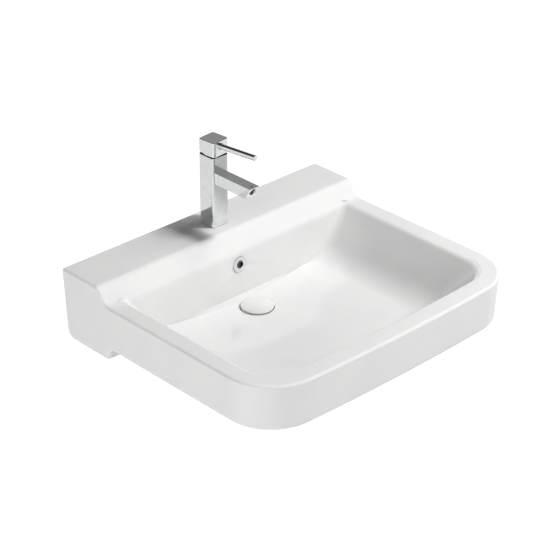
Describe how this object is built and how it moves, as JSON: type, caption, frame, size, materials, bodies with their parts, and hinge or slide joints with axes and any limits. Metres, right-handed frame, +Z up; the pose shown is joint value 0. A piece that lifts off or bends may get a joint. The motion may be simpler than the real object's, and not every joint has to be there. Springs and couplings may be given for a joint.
{
  "type": "wall-hung basin with mixer tap",
  "caption": "White ceramic wall-hung basin with a raised tap ledge, a square chrome single-lever mixer and a push-open waste.",
  "frame": {"origin": "on the wall face, midway between the two wall-fixing holes", "axes": "+X to the right when facing the wall along +Y, +Y into the wall, +Z up; the front of the basin faces -Y"},
  "size_m": [0.6022, 0.5148, 0.3739],
  "materials": {
    "glazed_ceramic": "glossy white glaze",
    "cap_ceramic": "glossy white glaze",
    "disc_ceramic": "lapped",
    "chrome": "polished",
    "brass": "machined",
    "steel": "zinc plated",
    "black_rubber": "matte",
    "grey_plastic": "moulded",
    "white_plastic": "moulded",
    "grey_insert": "moulded"
  },
  "bodies": {
    "basin": {"basin_body": "glazed_ceramic", "overflow_ring": "chrome", "click_housing": "brass", "click_spring": "steel", "waste_body": "chrome", "waste_upper_seal": "black_rubber", "waste_lower_seal": "black_rubber", "waste_slip_ring": "white_plastic", "waste_backnut": "brass", "tap_body": "chrome", "aerator_housing": "chrome", "aerator_insert": "grey_insert", "aerator_seal": "black_rubber", "base_gasket": "black_rubber", "fixing_stud": "steel", "horseshoe_pad": "black_rubber", "horseshoe_plate": "steel", "stud_nut": "brass", "port_seals": "black_rubber", "cartridge_base": "grey_plastic", "fixed_disc": "disc_ceramic", "cartridge_housing": "grey_plastic", "cartridge_nut": "brass"},
    "plug": {"plug_cap": "cap_ceramic", "plug_carrier": "chrome", "plug_seal": "black_rubber", "plug_plunger": "white_plastic"},
    "rotor": {"cartridge_rotor": "grey_plastic", "pivot_pin": "steel"},
    "disc": {"moving_disc": "disc_ceramic"},
    "handle": {"spindle": "steel", "handle_block": "chrome", "lever_rod": "chrome", "lever_collar": "chrome", "set_screw": "steel", "screw_cover": "chrome"}
  },
  "joints": [
    {"name": "handle_swivel", "type": "hinge", "parent": "basin", "child": "rotor", "pos_m": [0, -0.0545, 0.19085], "axis": [0, 0, 1], "range_deg": [-50.5, 39.5]},
    {"name": "handle_lift", "type": "hinge", "parent": "rotor", "child": "handle", "pos_m": [0, -0.0545, 0.19085], "axis": [-0.9954, -0.0958, 0], "range_deg": [0, 15]},
    {"name": "disc_slide", "type": "slide", "parent": "rotor", "child": "disc", "axis": [0.0958, -0.9954, 0], "range_m": [0, 0.003]},
    {"name": "plug_lift", "type": "slide", "parent": "basin", "child": "plug", "axis": [0, 0, 1], "range_m": [0, 0.008], "deforming": ["click_spring"]}
  ],
  "couplings": [
    {"joint": "disc_slide", "follows": "handle_lift", "m_per_rad": 0.0103}
  ]
}
